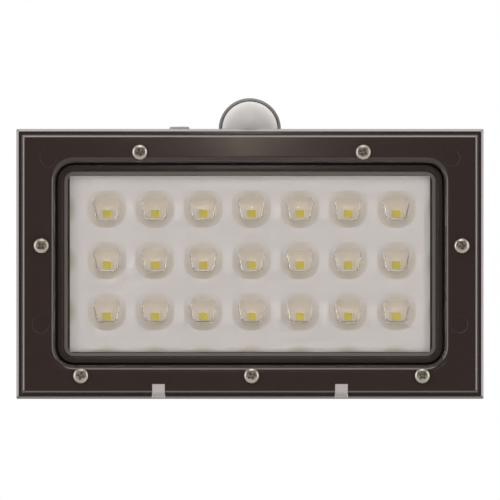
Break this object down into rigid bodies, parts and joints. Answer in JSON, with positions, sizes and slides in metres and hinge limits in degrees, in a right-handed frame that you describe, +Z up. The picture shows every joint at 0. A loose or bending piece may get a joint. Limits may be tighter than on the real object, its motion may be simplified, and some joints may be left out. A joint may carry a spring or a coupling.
{
  "type": "motion sensor security light",
  "caption": "Rectangular wall light with a framed panel of lens-covered LEDs, a domed motion sensor on one edge, a solar panel behind and a tilting wall bracket.",
  "frame": {"origin": "centre of the four wall screw holes, on the wall plane", "axes": "+Z up the wall, +Y into the wall, -Y out of the lamp face at rest, +X to the right of someone facing the light"},
  "size_m": [0.18, 0.0455, 0.1167],
  "materials": {
    "bezel_brown": "glossy moulded, dark brown",
    "housing_brown": "fine satin moulded, dark brown",
    "bracket_grey": "satin moulded, light grey",
    "clip_grey": "satin moulded, mid grey",
    "hood_grey": "satin moulded, mid grey",
    "button_grey": "soft satin, mid grey",
    "screw_steel": "bright plated steel",
    "brass": "turned brass",
    "bush_white": "smooth white nylon",
    "lens_clear": "clear polished acrylic",
    "seal_grey": "grey silicone bead",
    "seal_black": "black rubber",
    "board_white": "white solder mask on aluminium",
    "chip_yellow": "yellow phosphor in a white frame",
    "thermal_grey": "soft grey sheet",
    "heat_aluminium": "satin pressed aluminium",
    "cell_wrap": "shrink-wrapped cell",
    "tray_black": "black moulded",
    "board_green": "green solder mask",
    "component_dark": "mixed electronic parts",
    "solar_clear": "clear low-iron glass",
    "solar_blue": "dark blue silicon cells",
    "dome_grey": "milky moulded lens with fine facets"
  },
  "bodies": {
    "bracket": {"wall_plate": "bracket_grey", "hinge_bushes": "bush_white"},
    "lamp_head": {"hinge_screws": "screw_steel", "hinge_inserts": "brass", "rear_housing": "housing_brown", "housing_seal": "seal_black", "front_bezel": "bezel_brown", "bezel_gasket": "seal_black", "bezel_screws": "screw_steel", "bezel_clips": "clip_grey", "lens_frame": "bezel_brown", "lens_seal": "seal_grey", "lens_plate": "lens_clear", "led_board": "board_white", "led_chips": "chip_yellow", "thermal_pad": "thermal_grey", "heat_sink": "heat_aluminium", "heat_sink_screws": "screw_steel", "battery_tray": "tray_black", "battery_cells": "cell_wrap", "control_board": "board_green", "control_board_screws": "screw_steel", "board_parts": "component_dark", "solar_glass": "solar_clear", "solar_cells": "solar_blue", "solar_backing": "board_white", "solar_seal": "seal_black", "pir_dome": "dome_grey", "sensor_hood": "hood_grey", "dome_gasket": "seal_black", "dome_retainer": "tray_black", "sensor_board": "board_green", "sensor_board_screws": "screw_steel", "pir_sensor": "component_dark", "tact_switch": "component_dark"},
    "mode_button": {"mode_button": "button_grey"}
  },
  "joints": [
    {"name": "head_tilt", "type": "hinge", "parent": "bracket", "child": "lamp_head", "pos_m": [0, -0.014, -0.0286], "axis": [1, 0, 0], "range_deg": [0, 90]},
    {"name": "mode_button_press", "type": "slide", "parent": "lamp_head", "child": "mode_button", "axis": [0, 0, -1], "range_m": [0, 0.0008], "stiffness_N_per_m": 1500, "springref_m": -0.001}
  ]
}
